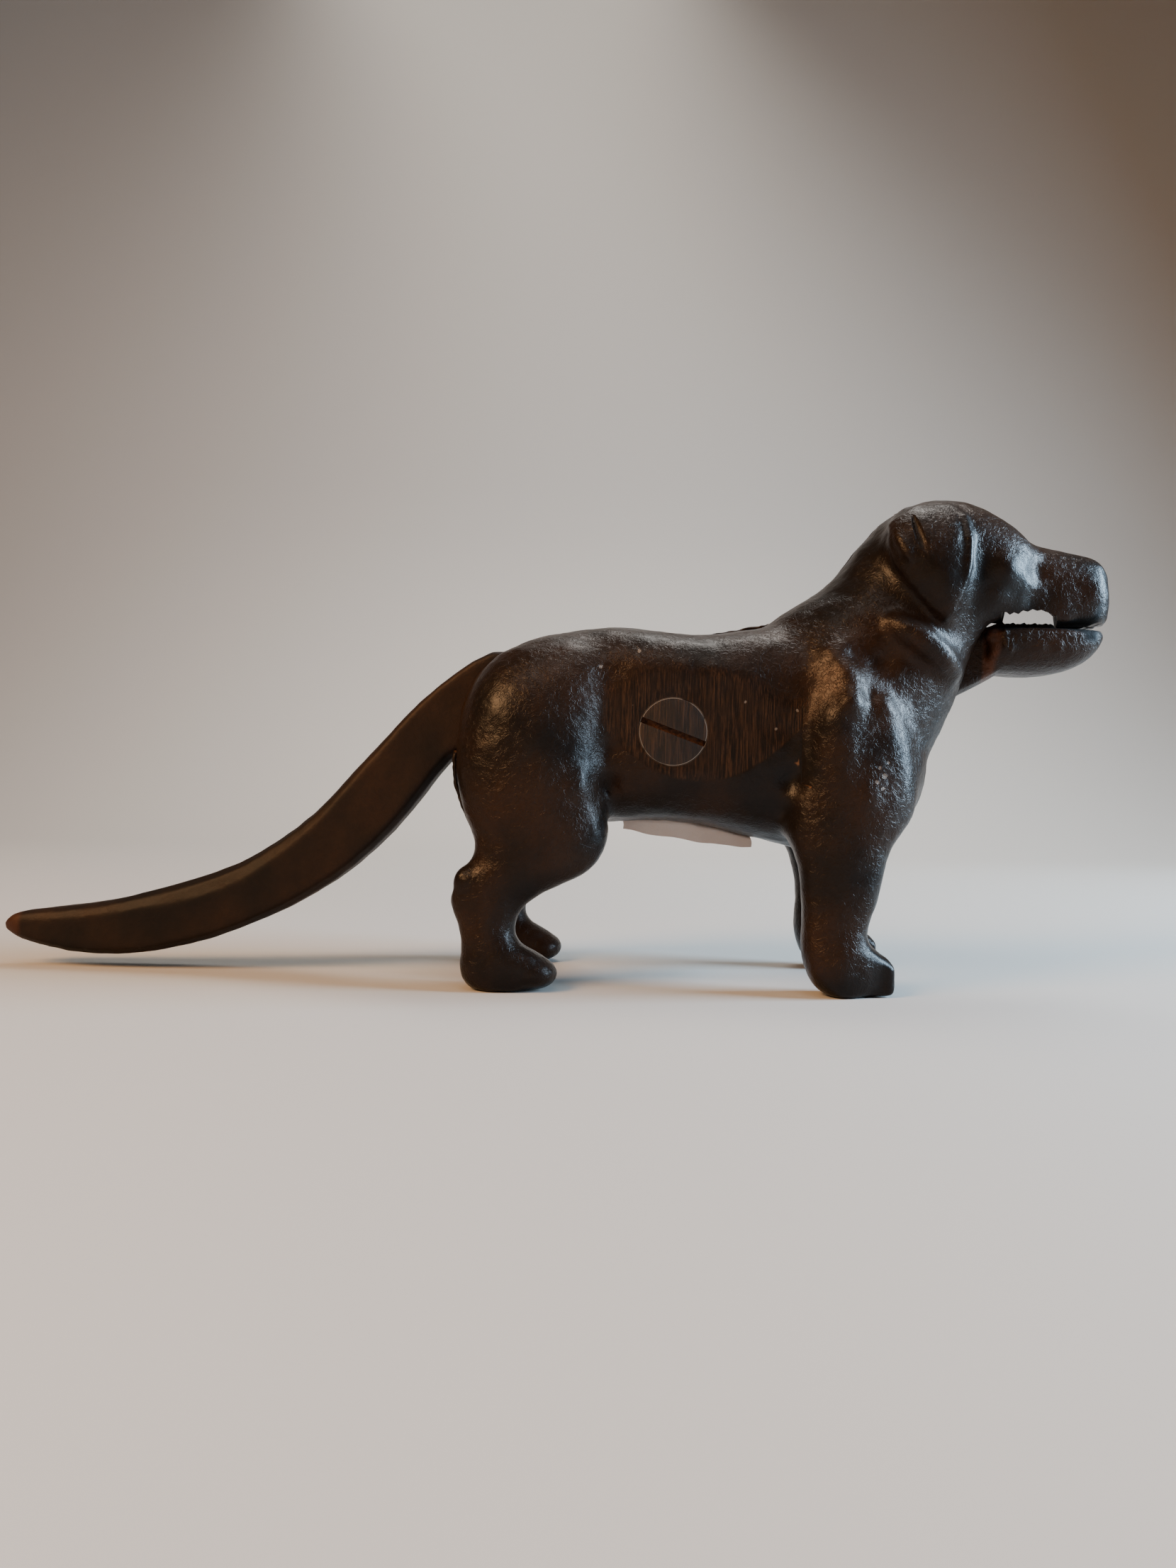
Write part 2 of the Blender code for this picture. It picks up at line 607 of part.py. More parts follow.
def price_label():
    """A paper strip stuck along the belly on the far side, with its near edge hanging free."""
    form = bmesh.new()
    rings = []
    for x, stuck, hanging in between(LABEL, 2):
        line = [(9.0, stuck), (4.0, stuck - 0.3), (0.5, stuck - 1.0), (-1.5, (stuck + hanging) / 2 - 0.6), (-2.2, hanging)]
        under = []
        for i, (y, z) in enumerate(line):
            before, after = line[max(i - 1, 0)], line[min(i + 1, len(line) - 1)]
            run = (Vector(after) - Vector(before)).normalized()
            under.append((x, y - run.y * LABEL_THICK, z + run.x * LABEL_THICK))
        rings.append([(x, y, z) for y, z in line] + under[::-1])
    skin_rings(form, rings)
    return new_object("price_label", form, "label_paper")


def stand_on_origin(base, pieces):
    """Moves the base so that the origin is the middle of the floor under the whole object."""
    bpy.context.view_layer.update()
    graph = bpy.context.evaluated_depsgraph_get()
    low, high = Vector((1e9,) * 3), Vector((-1e9,) * 3)
    for piece in pieces:
        shown = piece.evaluated_get(graph)
        for corner in shown.to_mesh().vertices:
            point = shown.matrix_world @ corner.co
            low = Vector(map(min, low, point))
            high = Vector(map(max, high, point))
        shown.to_mesh_clear()
    base.location = (-(low.x + high.x) / 2, -(low.y + high.y) / 2, -low.z)


def main():
    clear_scene()
    base = bpy.data.objects.new("nutcracker", None)
    pivot = bpy.data.objects.new("lever_pivot", None)
    for empty in (base, pivot):
        bpy.context.scene.collection.objects.link(empty)
    pivot.location = (PIVOT_X * MM, 0.0, PIVOT_Z * MM)
    shared = shared_cutters()
    pieces = [
        body_half("right_body_half", RIGHT, side_cutters(RIGHT) + shared),
        body_half("left_body_half", LEFT, side_cutters(LEFT) + shared),
        tail_and_jaw_lever(pivot),
        pivot_screw(),
        price_label(),
    ]
    pieces += [dowel(name, x, z) for name, (x, z) in DOWELS.items()]
    for piece in pieces:
        shade(piece)
    for thing in bpy.data.objects:
        if thing is not base and thing.parent is None:
            thing.parent = base
    stand_on_origin(base, pieces)


main()
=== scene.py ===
"""The looks of a cast-iron dog nutcracker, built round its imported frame.

Places are in millimetres on the dog's own drawing: the pivot is at x 27.2 and z 61.1, the nose
is at +x, the dog's left side is at +y and the feet stand on z 0. at() turns them into metres in
the frame.
"""

import json
import math
import random

import bmesh
import bpy
from mathutils import Matrix, Vector, noise

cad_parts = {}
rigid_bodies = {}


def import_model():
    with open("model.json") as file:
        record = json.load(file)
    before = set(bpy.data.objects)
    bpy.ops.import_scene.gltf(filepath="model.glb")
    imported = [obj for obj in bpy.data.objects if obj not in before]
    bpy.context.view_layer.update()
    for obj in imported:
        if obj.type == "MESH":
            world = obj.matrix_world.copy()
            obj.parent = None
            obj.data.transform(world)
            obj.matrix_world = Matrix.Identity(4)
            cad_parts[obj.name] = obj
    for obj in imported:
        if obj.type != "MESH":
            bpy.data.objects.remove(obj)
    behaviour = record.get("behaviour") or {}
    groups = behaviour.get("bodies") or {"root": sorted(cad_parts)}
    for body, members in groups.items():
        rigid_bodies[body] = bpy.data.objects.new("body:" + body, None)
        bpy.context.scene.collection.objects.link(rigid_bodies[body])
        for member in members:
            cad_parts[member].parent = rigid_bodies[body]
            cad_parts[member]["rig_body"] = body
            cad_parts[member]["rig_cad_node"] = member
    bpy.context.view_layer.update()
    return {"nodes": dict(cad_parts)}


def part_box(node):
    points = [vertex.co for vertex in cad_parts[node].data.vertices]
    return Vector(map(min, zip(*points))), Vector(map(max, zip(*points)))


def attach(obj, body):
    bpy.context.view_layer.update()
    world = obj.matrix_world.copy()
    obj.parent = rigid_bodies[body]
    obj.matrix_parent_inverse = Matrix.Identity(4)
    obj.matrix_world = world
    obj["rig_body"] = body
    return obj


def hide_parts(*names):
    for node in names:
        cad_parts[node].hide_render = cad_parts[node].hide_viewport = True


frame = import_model()

MM = 0.001
RIGHT, LEFT = -1, 1
PIVOT_X, PIVOT_Z, FLANK_Y = 27.2, 61.1, 23.0
SCREW_LOW, SCREW_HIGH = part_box("pivot_screw")
ORIGIN = Vector(
    (
        (SCREW_LOW.x + SCREW_HIGH.x) / 2 - PIVOT_X * MM,
        SCREW_LOW.y + FLANK_Y * MM,
        (SCREW_LOW.z + SCREW_HIGH.z) / 2 - PIVOT_Z * MM,
    )
)
HEAD_RADIUS = 7.95  # the screw head; its seat is 0.12 mm wider
GAP = 0.15  # from the parting plane to each half
STRIDE = 6.2  # how far the left foreleg stands ahead of the right one


def at(x, y, z):
    return ORIGIN + MM * Vector((x, y, z))


# ---------------------------------------------------------------- camera


def set_camera():
    data = bpy.data.cameras.new("camera")
    data.sensor_fit = "VERTICAL"
    data.sensor_height = 36.0
    data.lens = 36.0 * 1661.0 / 2212.0
    data.clip_start = 0.01
    camera = bpy.data.objects.new("camera", data)
    bpy.context.scene.collection.objects.link(camera)
    level = Matrix.Rotation(math.radians(90.0), 4, "X")
    tilt = Matrix.Rotation(0.0204, 4, "Z")
    camera.matrix_world = Matrix.Translation(at(7.47, -299.0, 48.45)) @ level @ tilt
    bpy.context.scene.camera = camera


set_camera()


# ---------------------------------------------------------------- shaping tools


def pick(*pieces):
    """Selects these pieces and nothing else; the first is active."""
    bpy.ops.object.select_all(action="DESELECT")
    for piece in pieces:
        piece.select_set(True)
    bpy.context.view_layer.objects.active = pieces[0]


def primitive(kind, place, size=(1, 1, 1), turn=(0, 0, 0), **options):
    """A mesh primitive with its centre, size and turn (in degrees) applied to its mesh."""
    bpy.ops.object.select_all(action="DESELECT")
    getattr(bpy.ops.mesh, f"primitive_{kind}_add")(**options)
    piece = bpy.context.object
    piece.scale = [MM * s for s in size]
    piece.rotation_euler = [math.radians(a) for a in turn]
    piece.location = at(*place)
    bpy.ops.object.transform_apply(location=True, rotation=True, scale=True)
    return piece


def ball(place, size, turn=(0, 0, 0)):
    return primitive("uv_sphere", place, size, turn, segments=32, ring_count=20)


def bar(radius, low, high):
    """A round bar on the pivot's axis, from y = low to y = high."""
    place = (PIVOT_X, (low + high) / 2, PIVOT_Z)
    size = (radius, radius, (high - low) / 2)
    return primitive("cylinder", place, size, (90, 0, 0), vertices=96, depth=2.0)


def roll(stations):
    """A round roll through (x, y, z, radius) stations."""
    data = bpy.data.curves.new("roll", "CURVE")
    data.dimensions = "3D"
    data.bevel_depth = MM
    data.bevel_resolution = 4
    data.use_fill_caps = True
    data.resolution_u = 5
    spline = data.splines.new("NURBS")
    spline.points.add(len(stations) - 1)
    for point, (x, y, z, radius) in zip(spline.points, stations):
        point.co = (*at(x, y, z), 1.0)
        point.radius = radius
    spline.use_endpoint_u = True
    spline.order_u = 3
    piece = bpy.data.objects.new("roll", data)
    bpy.context.scene.collection.objects.link(piece)
    pick(piece)
    bpy.ops.object.convert(target="MESH")
    piece = bpy.context.object
    clean(piece)
    return piece


def clean(piece):
    """Merges doubles and turns every face outwards."""
    pick(piece)
    bpy.ops.object.mode_set(mode="EDIT")
    bpy.ops.mesh.select_all(action="SELECT")
    bpy.ops.mesh.remove_doubles(threshold=1e-6)
    bpy.ops.mesh.normals_make_consistent(inside=False)
    bpy.ops.object.mode_set(mode="OBJECT")


def drawn(outline, low, high):
    """A side outline of (x, z) points, drawn out from y = low to y = high."""
    bpy.ops.object.select_all(action="DESELECT")
    bpy.ops.mesh.primitive_circle_add(vertices=len(outline), fill_type="NGON")
    piece = bpy.context.object
    for vertex, (x, z) in zip(piece.data.vertices, outline):
        vertex.co = at(x, low, z)
    bpy.ops.object.mode_set(mode="EDIT")
    bpy.ops.mesh.select_all(action="SELECT")
    along = (0.0, (high - low) * MM, 0.0)
    bpy.ops.mesh.extrude_region_move(TRANSFORM_OT_translate={"value": along})
    bpy.ops.object.mode_set(mode="OBJECT")
    clean(piece)
    return piece


def modify(piece, kind, **settings):
    """Adds one modifier and applies it."""
    pick(piece)
    step = piece.modifiers.new(kind.lower(), kind)
    for name, value in settings.items():
        setattr(step, name, value)
    bpy.ops.object.modifier_apply(modifier=step.name)


def join(piece, others):
    """Makes the others part of the piece."""
    pick(piece, *others)
    bpy.ops.object.join()
    return piece


def cut(piece, cutter):
    """Takes the cutter's shape out of the piece and throws the cutter away."""
    modify(piece, "BOOLEAN", operation="DIFFERENCE", solver="EXACT", object=cutter)
    bpy.data.objects.remove(cutter)


def node_copy(node, name):
    """A merged copy of a CAD node, free of the frame."""
    pick(frame["nodes"][node])
    bpy.ops.object.duplicate()
    piece = bpy.context.object
    piece.name = name
    bpy.ops.object.parent_clear(type="CLEAR_KEEP_TRANSFORM")
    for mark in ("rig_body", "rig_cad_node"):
        if mark in piece:
            del piece[mark]
    piece.data.materials.clear()
    clean(piece)
    return piece


def cast(piece, voxel, softness):
    """Blends a piece's joined masses into one skin and softens it, as a sand casting is."""
    modify(piece, "REMESH", mode="VOXEL", voxel_size=voxel * MM)
    modify(piece, "SMOOTH", factor=0.5, iterations=softness)


def roughen(piece, size, height):
    """Lets the skin wander in and out a little, over patches of a size in millimetres."""
    texture = bpy.data.textures.new("sand_mould", "CLOUDS")
    texture.noise_scale = size * MM
    texture.noise_depth = 2
    settings = {"texture_coords": "LOCAL", "strength": height * MM, "mid_level": 0.5}
    modify(piece, "DISPLACE", texture=texture, **settings)


def swell(piece, outline, side, height):
    """Lifts the skin of one side inside an (x, z) outline, along its normals, in millimetres."""
    pick(piece)
    bpy.ops.object.mode_set(mode="EDIT")
    bpy.ops.mesh.select_mode(type="FACE")
    bpy.ops.mesh.select_all(action="DESELECT")
    form = bmesh.from_edit_mesh(piece.data)
    for face in form.faces:
        place = (face.calc_center_median() - ORIGIN) / MM
        outer = place.y * side > 9.0 and face.normal.y * side > -0.1
        face.select = outer and inside(outline, place.x, place.z)
    bmesh.update_edit_mesh(piece.data)
    bpy.ops.transform.shrink_fatten(value=height * MM)
    bpy.ops.object.mode_set(mode="OBJECT")


def inside(outline, x, z):
    """Whether (x, z) is within a closed outline of (x, z) corners."""
    crossings = 0
    for (x0, z0), (x1, z1) in zip(outline, outline[1:] + outline[:1]):
        if (z0 > z) != (z1 > z) and x < x0 + (z - z0) / (z1 - z0) * (x1 - x0):
            crossings += 1
    return crossings % 2 == 1


def push(piece, moves):
    """Proportional moves in edit mode: (place, reach, move), with the move in millimetres."""
    pick(piece)
    bpy.ops.object.mode_set(mode="EDIT")
    bpy.ops.mesh.select_mode(type="VERT")
    for place, reach, move in moves:
        centre = at(*place)
        bpy.ops.mesh.select_all(action="DESELECT")
        form = bmesh.from_edit_mesh(piece.data)
        nearest = min(form.verts, key=lambda vertex: (vertex.co - centre).length_squared)
        nearest.select = True
        bmesh.update_edit_mesh(piece.data)
        bpy.ops.transform.translate(
            value=[MM * m for m in move],
            use_proportional_edit=True,
            proportional_edit_falloff="SMOOTH",
            proportional_size=reach * MM,
        )
    bpy.ops.object.mode_set(mode="OBJECT")


def finish(piece, name, body, nodes, material, sharp=40.0):
    """Names a piece, gives it its finish and puts it on its body."""
    piece.name = name
    piece.data.name = name
    piece.data.materials.clear()
    piece.data.materials.append(material)
    pick(piece)
    bpy.ops.object.shade_smooth_by_angle(angle=math.radians(sharp))
    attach(piece, body)
    if nodes:
        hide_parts(*nodes)


# ---------------------------------------------------------------- paint tools


class Paint:
    """A shader socket that can be used in sums, and that makes any other node beside itself."""

    def __init__(self, tree, socket=None):
        self.tree = tree
        self.socket = socket

    def node(self, kind, settings=None, inputs=None, out=0):
        made = self.tree.nodes.new("ShaderNode" + kind)
        for name, value in (settings or {}).items():
            setattr(made, name, value)
        for name, value in (inputs or {}).items():
            if isinstance(value, Paint):
                self.tree.links.new(value.socket, made.inputs[name])
            elif isinstance(value, tuple) and len(value) == 3 and made.inputs[name].type == "RGBA":
                made.inputs[name].default_value = (*value, 1.0)
            else:
                made.inputs[name].default_value = value
        return Paint(self.tree, made.outputs[out])

    def sum(self, operation, first, second=0.0):
        return self.node("Math", {"operation": operation}, {0: first, 1: second})

    def __add__(self, other):
        return self.sum("ADD", self, other)

    __radd__ = __add__

    def __sub__(self, other):
        return self.sum("SUBTRACT", self, other)

    def __rsub__(self, other):
        return self.sum("SUBTRACT", other, self)

    def __mul__(self, other):
        return self.sum("MULTIPLY", self, other)

    __rmul__ = __mul__

    def root(self):
        return self.sum("SQRT", self)

    def __abs__(self):
        return self.sum("ABSOLUTE", self)

    def rise(self, low, high):
        """0 below low, 1 above high and smooth between them. With low above high it falls."""
        ends = {"Value": self, 1: low, 2: high}
        return self.node("MapRange", {"interpolation_type": "SMOOTHSTEP"}, ends)

    def mix(self, first, second):
        """The first colour where self is 0, the second where it is 1."""
        return self.node("Mix", {"data_type": "RGBA"}, {0: self, 6: first, 7: second}, 2)

    def stretched(self, size, offset=(0.0, 0.0, 0.0)):
        return self.node("Mapping", None, {0: self, "Location": offset, "Scale": size})

    def clouds(self, size, detail=3.0, roughness=0.5):
        """Noise from 0 to 1 over patches of a size in metres, on self as the position."""
        settings = {"Scale": 1.0 / size, "Detail": detail, "Roughness": roughness}
        return self.node("TexNoise", None, {0: self, **settings})


def paint(name, **fixed):
    """A new material: (its shader's node, a Paint that starts at the object position)."""
    material = bpy.data.materials.new(name)
    material.use_nodes = True
    tree = material.node_tree
    shader = tree.nodes["Principled BSDF"]
    for socket, value in fixed.items():
        shader.inputs[socket.replace("_", " ")].default_value = value
    place = Paint(tree).node("TexCoord", out=3)
    return material, shader, place


def feed(shader, **values):
    for socket, value in values.items():
        value.tree.links.new(value.socket, shader.inputs[socket.replace("_", " ")])


def bumped(height, distance):
    """The normal for a height from 0 to 1 that is worth a distance in metres."""
    return height.node("Bump", None, {"Height": height, "Distance": distance, "Strength": 1.0})


def drawing_axes(place):
    """The object position as millimetres on the drawing: x, y and z."""
    moved = place.stretched((1 / MM, 1 / MM, 1 / MM), tuple(-ORIGIN / MM))
    return [moved.node("SeparateXYZ", None, {0: moved}, out) for out in range(3)]


# The first colour below is painted shade: near-black, put in the hollows and inside the mouth.
SHADE_BLACK = (0.002, 0.002, 0.002)
LACQUER = (0.008, 0.006, 0.005)
SKIN = (0.013, 0.008, 0.006)
BROWN = (0.024, 0.012, 0.007)
COPPER = (0.15, 0.070, 0.032)
# The next colour is partly rubbed wear and partly a painted highlight, for the top edge of the
# tail.
RUB_AND_HIGHLIGHT = (0.34, 0.150, 0.065)
RUST = (0.095, 0.032, 0.014)
TIP_BROWN = (0.050, 0.020, 0.012)
GROUND_LOW, GROUND_BAND = (0.006, 0.004, 0.003), (0.012, 0.007, 0.005)
# Places on the near side, as (x, z, radius), where the lacquer has chipped.
CHIPS = [(19.0, 80.1, 0.42), (10.0, 76.1, 0.50), (17.6, 67.1, 0.22), (44.0, 68.5, 0.28)]
CHIPS += [(52.7, 67.5, 0.22), (56.1, 66.6, 0.26), (51.2, 62.3, 0.22), (74.8, 53.6, 0.45)]
CHIPS += [(75.9, 51.6, 0.5), (74.2, 50.2, 0.35), (75.6, 48.8, 0.4), (76.9, 54.8, 0.3)]


def wrinkled(place, size):
    """Worm-like creases of stoved lacquer, 0 in a crease and near 1 on the skin between."""
    noise_at = {"Scale": 1.0 / size, "Detail": 3.0, "Roughness": 0.6, "Distortion": 0.7}
    return abs(place.node("TexNoise", None, {0: place, **noise_at}) - 0.5).rise(0.0, 0.13)


def ground_marks(place):
    """Vertical grinding lines: (fine lines, broader bands)."""
    lines = place.stretched((1.0, 1.0, 0.045)).clouds(0.00030, 3.0, 0.7)
    bands = place.stretched((1.0, 1.0, 0.05)).clouds(0.0022, 3.0, 0.6)
    return lines, bands


def round_the_screw(x, z, grain):
    """The thin bright line where the lacquer has broken round the screw head."""
    across, up = x - PIVOT_X, z - PIVOT_Z
    away = (across * across + up * up).root()
    return abs(away - (HEAD_RADIUS + 0.02)).rise(0.24, 0.10) * grain.rise(0.36, 0.50)


def japanned_iron(name, ground_flank=False, rubbed_highlit_ridge=False):
    """Black-brown stoved lacquer on rough cast iron, worn brown at the edges, with painted shade in
    its hollows and inside the mouth, and on the lever a ridge of rubbed wear and painted highlight.
    """
    material, shader, place = paint(name, Metallic=0.25, Specular_IOR_Level=0.16)
    x, y, z = drawing_axes(place)
    grain = place.clouds(0.00075, 3.0, 0.6)
    wrinkle = wrinkled(place, 0.0015)
    pebble = place.clouds(0.0042, 3.0, 0.5)
    patches = place.clouds(0.022, 4.0, 0.55)
    edge = place.node("NewGeometry", out=7)
    smooth = patches.rise(0.30, 0.50) * 0.75 + 0.25
    worn = (edge + 0.10 * (pebble - 0.5) + 0.08 * (grain - 0.5)).rise(0.560, 0.66)
    # Painted shade: the hollows are painted near-black below, and they are made rougher as well.
    hollow = edge.rise(0.495, 0.42)
    colour = patches.rise(0.35, 0.68).mix(LACQUER, BROWN)
    colour = (wrinkle * 0.40).mix(colour, SKIN)
    colour = hollow.mix(colour, SHADE_BLACK)
    colour = (worn * 0.75).mix(colour, COPPER)
    height = wrinkle * smooth * 0.16 + pebble * 0.60 + grain * 0.06
    # Painted shade: the inside of the mouth is painted near-black and made very rough.
    mouth = x.rise(103.0, 105.0) * x.rise(133.0, 131.0) * z.rise(85.0, 87.0)
    mouth = mouth * z.rise(98.5, 96.5) * abs(y).rise(11.6, 10.8)
    colour = mouth.mix(colour, SHADE_BLACK)
    rough = 0.23 + 0.09 * grain + 0.08 * patches + 0.22 * hollow + 0.5 * mouth
    if rubbed_highlit_ridge:
        broken = place.clouds(0.0026, 4.0, 0.65)
        # Along the tail's top edge: rubbed wear and a painted highlight of the warm lamp.
        ridge = (edge + (broken - 0.5) * 0.20).rise(0.615, 0.66)
        colour = (ridge * x.rise(60.0, 40.0)).mix(colour, RUB_AND_HIGHLIGHT)
        tip = x.rise(-133.6, -135.6)
        colour = (tip * 0.8).mix(colour, TIP_BROWN)
        jaw_rear = x.rise(108.2, 106.6) * x.rise(104.2, 105.2)
        jaw_rear = jaw_rear * (0.30 + 0.50 * pebble.rise(0.3, 0.6))
        colour = jaw_rear.mix(colour, RUST)
        jaw = x.rise(90.0, 106.0)
        height = height * (0.45 + 1.0 * jaw)
        rough = rough + 0.22 * (1.0 - jaw)
    if ground_flank:
        lower = 49.6 + (x - 33.5) * (x - 33.5) * 0.0235
        bounds = (z - lower).rise(-0.5, 0.5) * x.rise(8.0, 14.0)
        bounds = bounds * x.rise(65.0, 53.0) * z.rise(83.5, 72.0)
        flat = abs(y).rise(FLANK_Y - 0.8, FLANK_Y - 0.1) * bounds * 0.92
        flat = flat * (pebble * 0.5 + 0.75).rise(0.55, 0.9)
        lines, bands = ground_marks(place)
        ground = lines.rise(0.40, 0.70).mix(GROUND_LOW, (0.062, 0.029, 0.014))
        ground = (bands.rise(0.40, 0.60) * 0.6).mix(ground, GROUND_BAND)
        colour = flat.mix(colour, ground)
        height = height * (1.0 - flat * 0.80) + lines * flat * 0.16
        rough = rough + flat * 0.06
        ring = round_the_screw(x, z, pebble) * y.rise(-20.0, -22.5)
        colour = (ring * 0.7).mix(colour, (0.16, 0.125, 0.10))
        chips = 0.0
        jagged = (pebble - 0.5) * 1.1 + (grain - 0.5) * 0.9
        for chip_x, chip_z, radius in CHIPS:
            across, up = x - chip_x, z - chip_z
            away = (across * across + up * up).root() + jagged
            chips = away.rise(radius + 0.08, radius - 0.08) + chips
        chips = chips * y.rise(-12.0, -16.0)
        colour = (chips * 0.6).mix(colour, (0.20, 0.165, 0.14))
        height = height - chips * 0.10
    feed(shader, Base_Color=colour, Roughness=rough, Normal=bumped(height, 0.00028))
    return material


def screw_iron(name):
    """The screw: its head is ground with the flank and its slot has rusted."""
    material, shader, place = paint(name, Metallic=0.25, Specular_IOR_Level=0.38)
    x, y, z = drawing_axes(place)
    grain = place.clouds(0.0009, 4.0, 0.62)
    pebble = place.clouds(0.0042, 3.0, 0.5)
    lines, bands = ground_marks(place)
    colour = lines.rise(0.40, 0.70).mix(GROUND_LOW, (0.050, 0.024, 0.012))
    colour = (bands.rise(0.40, 0.60) * 0.6).mix(colour, GROUND_BAND)
    colour = round_the_screw(x, z, pebble).mix(colour, (0.16, 0.135, 0.115))
    deep = y.rise(-FLANK_Y + 0.14, -FLANK_Y + 0.34)
    rust = grain.rise(0.35, 0.65).mix((0.030, 0.011, 0.005), (0.13, 0.050, 0.020))
    colour = deep.mix(colour, rust)
    rough = 0.38 + 0.16 * grain + 0.3 * deep
    height = lines * 0.22 + grain * 0.3
    feed(shader, Base_Color=colour, Roughness=rough, Normal=bumped(height, 0.0004))
    return material


def dowel_steel(name):
    """Bare drawn steel, with its lines along Y."""
    material, shader, place = paint(name, Metallic=1.0)
    grain = place.stretched((1.0, 0.08, 1.0)).clouds(0.0006, 3.0, 0.6)
    colour = grain.rise(0.3, 0.7).mix((0.30, 0.29, 0.28), (0.42, 0.41, 0.40))
    feed(shader, Base_Color=colour, Roughness=0.3 + 0.2 * grain, Normal=bumped(grain, 0.00004))
    return material


def label_paper(name):
    """Matt paper with faint fibres and yellowed, grubby patches."""
    material, shader, place = paint(name)
    fibres = place.stretched((1.0, 3.0, 1.0)).clouds(0.0005, 4.0, 0.7)
    stain = place.clouds(0.009, 3.0, 0.5)
    colour = stain.rise(0.35, 0.7).mix((0.84, 0.72, 0.67), (0.74, 0.60, 0.54))
    colour = (fibres * 0.35).mix(colour, (0.88, 0.80, 0.76))
    feed(shader, Base_Color=colour, Roughness=0.78 + 0.15 * fibres, Normal=bumped(fibres, 0.00005))
    return material


# ---------------------------------------------------------------- body halves

# The parts below are drawn for the right side, with y outwards from the middle plane.
EAR = [(79.6, 112.6), (79.0, 107.6), (80.2, 103.0), (82.4, 99.2), (85.6, 95.4), (88.8, 92.0)]
EAR += [(91.2, 89.8), (92.6, 90.6), (94.4, 95.0), (95.8, 99.0), (96.8, 103.0), (97.4, 107.0)]
EAR += [(97.6, 111.0), (97.4, 114.6), (94.0, 117.6), (86.0, 117.0)]
EAR_EDGE = [(96.4, 16.2, 115.0, 0.9), (96.6, 19.2, 110.5, 1.2), (96.5, 20.9, 105.5, 1.3)]
EAR_EDGE += [(95.8, 21.7, 101.0, 1.2), (94.6, 21.6, 96.5, 1.1), (92.8, 21.0, 92.5, 1.0)]
EAR_FOLD_1 = [(79.8, 14.0, 113.0, 1.0), (80.4, 17.8, 109.4, 1.8), (81.6, 20.2, 105.6, 2.0)]
EAR_FOLD_1 += [(83.0, 21.4, 102.8, 1.0)]
EAR_FOLD_2 = [(86.8, 14.8, 114.4, 0.9), (87.8, 18.6, 110.4, 1.6), (88.6, 20.8, 106.4, 2.0)]
EAR_FOLD_2 += [(88.4, 22.0, 101.6, 1.2)]
EAR_KNOB = [(90.2, 12.8, 117.0, 0.9), (92.4, 17.0, 113.2, 1.6), (93.4, 19.8, 109.6, 1.4)]
EAR_KNOB += [(92.6, 21.4, 106.6, 0.7)]
EAR_GROOVE = [(83.6, 17.0, 115.6, 0.4), (84.2, 21.6, 110.0, 1.5), (85.0, 23.6, 106.0, 1.6)]
EAR_GROOVE += [(86.4, 24.2, 102.8, 0.9)]
EAR_TRENCH = [(76.4, 15.4, 110.6, 1.1), (77.0, 18.0, 105.2, 1.6), (78.6, 19.8, 101.0, 1.8)]
EAR_TRENCH += [(81.2, 21.0, 97.0, 1.8), (84.6, 21.4, 93.0, 1.6), (88.0, 21.2, 89.8, 1.5)]
EAR_TRENCH += [(91.2, 20.6, 87.6, 1.2)]
CHEEK_TRENCH = [(98.9, 15.0, 116.8, 0.6), (99.3, 19.2, 110.5, 0.9), (99.2, 20.8, 104.5, 1.0)]
CHEEK_TRENCH += [(98.0, 21.2, 98.5, 1.0), (96.0, 21.0, 93.0, 0.9), (93.6, 20.2, 88.8, 0.7)]
NECK_FOLD = [(76.6, 17.6, 89.4, 1.4), (80.0, 20.2, 87.4, 2.9), (84.0, 21.0, 85.0, 3.6)]
NECK_FOLD += [(88.2, 20.6, 82.2, 3.7), (92.2, 18.8, 79.4, 3.1), (95.6, 15.6, 77.0, 1.8)]
LIP = [(107.4, 91.2), (108.6, 92.4), (109.4, 91.8), (110.4, 92.4), (111.5, 92.0), (112.6, 92.9)]
LIP += [(113.8, 92.6), (115.0, 93.3), (116.2, 92.9), (117.3, 93.2), (118.4, 92.7), (119.2, 92.5)]
LIP += [(120.2, 91.6), (121.0, 90.8), (122.2, 90.2), (123.6, 90.5), (125.0, 90.2), (126.4, 90.4)]
LIP += [(127.8, 89.9), (129.2, 90.3), (130.6, 90.2), (132.0, 90.9), (134.0, 90.7), (150.0, 90.7)]
LIP += [(150.0, 60.0)]
MOUTH_BACK = [(110.0, 60.0), (99.8, 71.5), (99.5, 75.5), (100.9, 80.6), (102.5, 85.2)]
MOUTH_BACK += [(104.2, 88.6)]
NEAR_LIP_Y = -12.0
ROOF_RISE, MOUTH_SLANT = 0.155, 0.37  # how much higher and longer the mouth grows per mm of y
LIP_PLUG = [(106.6, 91.0), (124.5, 90.0), (124.5, 97.0), (106.6, 97.0)]
